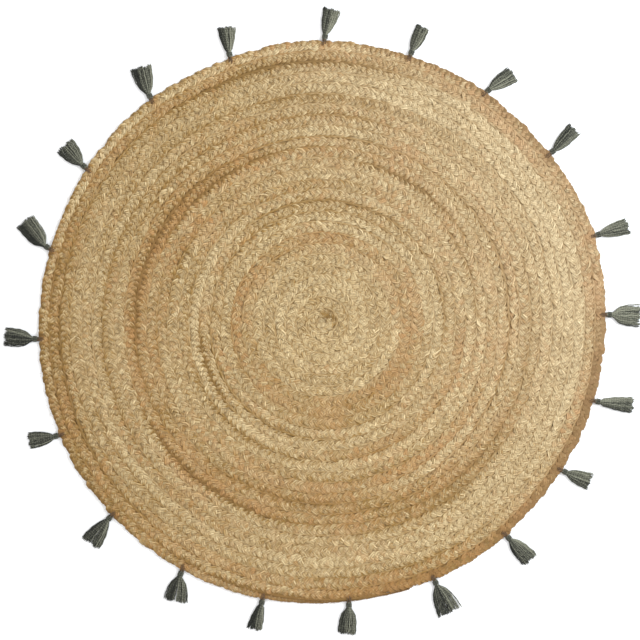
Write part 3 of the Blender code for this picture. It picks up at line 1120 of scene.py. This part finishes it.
def cotton_finish(colours):
    """Twisted cotton yarn: two plies wound round each other, some yarns darker than others."""
    finish, sheet, shader = new_finish("tassel_cotton")
    lay = sheet.attribute("lay", "Vector")
    light = sheet.attribute("light")
    across = sheet.attribute("across")
    coarse, fine = sheet.streaks(lay, 1500.0, 200.0)
    along = sheet.part(lay, "X")
    slant = sheet.maths("MULTIPLY", across, 0.35)
    twist = sheet.maths("ADD", sheet.maths("DIVIDE", along, TWIST_LENGTH), slant)
    ply = sheet.mapped(sheet.off_middle(twist), 0.5, 0.15)
    tone = sheet.maths("MULTIPLY_ADD", light, 0.25, -0.57)
    tone = sheet.maths("MULTIPLY_ADD", coarse, 1.1, tone)
    tone = sheet.maths("MULTIPLY_ADD", ply, 0.4, tone, clamp=True)
    place = sheet.node("ShaderNodeTexCoord").outputs["Object"]
    height = sheet.part(place, "Z")
    # Painted shade: the yarns darker low down
    tone = sheet.maths("MULTIPLY", tone, sheet.mapped(height, 2.0 * MM, 7.0 * MM, 0.4, 1.0))
    colour = sheet.mixed(tone, colour4(colours.cotton_shade), colour4(colours.cotton))
    roughness = sheet.mapped(fine, 0.0, 1.0, 0.95, 0.8)
    relief = sheet.maths("ADD", coarse, ply)
    bump = sheet.node("ShaderNodeBump", Strength=0.7, Distance=0.4 * MM, Height=relief)
    sheet.feed(shader, Base_Color=colour, Roughness=roughness, Normal=bump.outputs[0])
    shader.inputs["Specular IOR Level"].default_value = 0.2
    shader.inputs["Sheen Weight"].default_value = 0.1
    return finish


def thread_finish(colours):
    """Brown sewing thread."""
    finish, sheet, shader = new_finish("sewing_thread")
    coarse, _ = sheet.streaks(sheet.attribute("lay", "Vector"), 1500.0, 300.0)
    dark = tuple(0.5 * value for value in colours.thread)
    colour = sheet.mixed(coarse, colour4(dark), colour4(colours.thread))
    sheet.feed(shader, Base_Color=colour, Roughness=0.7)
    return finish


def finish_named(name, make, scene):
    return bpy.data.materials.get(name) or make(scene.rug_colours)


def give_finish(piece, finish):
    piece.data.materials.append(finish)


# ---------------- the stage

VIEW_WIDTH = 1.3568  # metres across the picture, at the height of the rug
VIEW_MIDDLE = (-9.5 * MM, 5.3 * MM)
VIEW_HEIGHT = 7.0 * MM
SENSOR_WIDTH = 36.0  # millimetres
FLOOR_HALF_WIDTH = 6.0
FLOOR_COLOUR = (0.86, 0.86, 0.86, 1.0)
WINDOW_PLACE = (2.2, 0.9, 1.9)
WINDOW_SIZE = 1.2
WINDOW_COLOUR = (0.86, 0.93, 1.0)


def add_floor():
    bm = bmesh.new()
    bmesh.ops.create_grid(bm, x_segments=1, y_segments=1, size=FLOOR_HALF_WIDTH)
    mesh = bpy.data.meshes.new("floor")
    bm.to_mesh(mesh)
    bm.free()
    floor = new_object("floor", mesh)
    finish, sheet, shader = new_finish("floor_white")
    sheet.feed(shader, Base_Color=FLOOR_COLOUR, Roughness=0.9, Specular_IOR_Level=0.1)
    mesh.materials.append(finish)


def add_lights(scene, stage):
    world = bpy.data.worlds.new("room")
    world.use_nodes = True
    background = world.node_tree.nodes["Background"]
    background.inputs["Color"].default_value = (1.0, 1.0, 1.0, 1.0)
    background.inputs["Strength"].default_value = stage.sky
    scene.world = world
    lamp = bpy.data.lights.new("window", "AREA")
    lamp.shape = "DISK"
    lamp.size = WINDOW_SIZE
    lamp.energy = stage.window
    lamp.color = WINDOW_COLOUR
    window = new_object("window", lamp)
    window.location = WINDOW_PLACE
    window.rotation_euler = (-Vector(WINDOW_PLACE)).to_track_quat("-Z", "Y").to_euler()


def add_camera(scene, stage):
    data = bpy.data.cameras.new("camera")
    data.lens = stage.lens
    data.sensor_width = SENSOR_WIDTH
    camera = new_object("camera", data)
    distance = VIEW_WIDTH * stage.lens / data.sensor_width
    camera.location = (*VIEW_MIDDLE, VIEW_HEIGHT + distance)
    scene.camera = camera


# ---------------- the operators


class RUG_OT_lay_plait(bpy.types.Operator):
    """Plaits three strands of jute, coils them into the rug and sews its seams"""

    bl_idname = "jute_rug.lay_plait"
    bl_label = "Lay the Plait"

    def execute(self, context):
        scene = context.scene
        finish = finish_named("plaited_jute", jute_finish, scene)
        for number in range(3):
            strand = make_strand(number, scene.rug_plait)
            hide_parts("plait_coil")
            give_finish(strand, finish)
        give_finish(make_seam_thread(), finish)
        return {"FINISHED"}


class RUG_OT_add_stray_fibres(bpy.types.Operator):
    """Adds the fibre ends that stand off the plait"""

    bl_idname = "jute_rug.add_stray_fibres"
    bl_label = "Add Stray Fibres"

    def execute(self, context):
        scene = context.scene
        finish = finish_named("plaited_jute", jute_finish, scene)
        give_finish(make_stray_fibres(scene.rug_plait), finish)
        return {"FINISHED"}


class RUG_OT_add_tassels(bpy.types.Operator):
    """Adds the tassels round the rim"""

    bl_idname = "jute_rug.add_tassels"
    bl_label = "Add the Tassels"

    def execute(self, context):
        scene = context.scene
        finish = finish_named("tassel_cotton", cotton_finish, scene)
        for number, row in enumerate(TASSELS, 1):
            tassel = make_tassel(number, row, scene.rug_tassels)
            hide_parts(f"tassel_{number:02d}")
            give_finish(tassel, finish)
        return {"FINISHED"}


class RUG_OT_bind_necks(bpy.types.Operator):
    """Winds the thread round the necks of the tassels"""

    bl_idname = "jute_rug.bind_necks"
    bl_label = "Bind the Necks"

    def execute(self, context):
        scene = context.scene
        finish = finish_named("tassel_cotton", cotton_finish, scene)
        for number, row in enumerate(TASSELS, 1):
            binding = make_binding(number, row, scene.rug_tassels)
            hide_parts(f"tassel_wrap_{number:02d}")
            give_finish(binding, finish)
        return {"FINISHED"}


class RUG_OT_sew_roots(bpy.types.Operator):
    """Sews the root of each tassel to the rim"""

    bl_idname = "jute_rug.sew_roots"
    bl_label = "Sew the Roots"

    def execute(self, context):
        finish = finish_named("sewing_thread", thread_finish, context.scene)
        give_finish(make_root_stitches(), finish)
        return {"FINISHED"}


class RUG_OT_set_stage(bpy.types.Operator):
    """Lays the pale floor and sets the lights and the camera"""

    bl_idname = "jute_rug.set_stage"
    bl_label = "Set the Stage"

    def execute(self, context):
        scene = context.scene
        stage = scene.rug_stage
        add_floor()
        add_lights(scene, stage)
        add_camera(scene, stage)
        scene.view_settings.view_transform = "Standard"
        return {"FINISHED"}


class RUG_PT_sidebar(bpy.types.Panel):
    """The rug's sizes, colours and the steps that make it"""

    bl_idname = "RUG_PT_sidebar"
    bl_label = "Round Jute Rug"
    bl_space_type = "VIEW_3D"
    bl_region_type = "UI"
    bl_category = "Jute Rug"

    def draw(self, context):
        for name in SETTINGS:
            group = getattr(context.scene, name)
            box = self.layout.box()
            for key in group.bl_rna.properties.keys():
                if key not in ("name", "rna_type"):
                    box.prop(group, key)
        for operator in OPERATORS:
            self.layout.operator(operator.bl_idname)


SETTINGS = {
    "rug_plait": RugPlaitSettings,
    "rug_tassels": RugTasselSettings,
    "rug_colours": RugColourSettings,
    "rug_stage": RugStageSettings,
}
OPERATORS = (
    RUG_OT_set_stage,
    RUG_OT_lay_plait,
    RUG_OT_add_stray_fibres,
    RUG_OT_add_tassels,
    RUG_OT_bind_necks,
    RUG_OT_sew_roots,
)


def register():
    for name, group in SETTINGS.items():
        bpy.utils.register_class(group)
        setattr(bpy.types.Scene, name, PointerProperty(type=group))
    for shown in (*OPERATORS, RUG_PT_sidebar):
        bpy.utils.register_class(shown)


def unregister():
    for shown in reversed((*OPERATORS, RUG_PT_sidebar)):
        bpy.utils.unregister_class(shown)
    for name, group in reversed(SETTINGS.items()):
        delattr(bpy.types.Scene, name)
        bpy.utils.unregister_class(group)


def main():
    register()
    bpy.ops.jute_rug.set_stage()
    bpy.ops.jute_rug.lay_plait()
    bpy.ops.jute_rug.add_stray_fibres()
    bpy.ops.jute_rug.add_tassels()
    bpy.ops.jute_rug.bind_necks()
    bpy.ops.jute_rug.sew_roots()


if __name__ == "__main__":
    main()
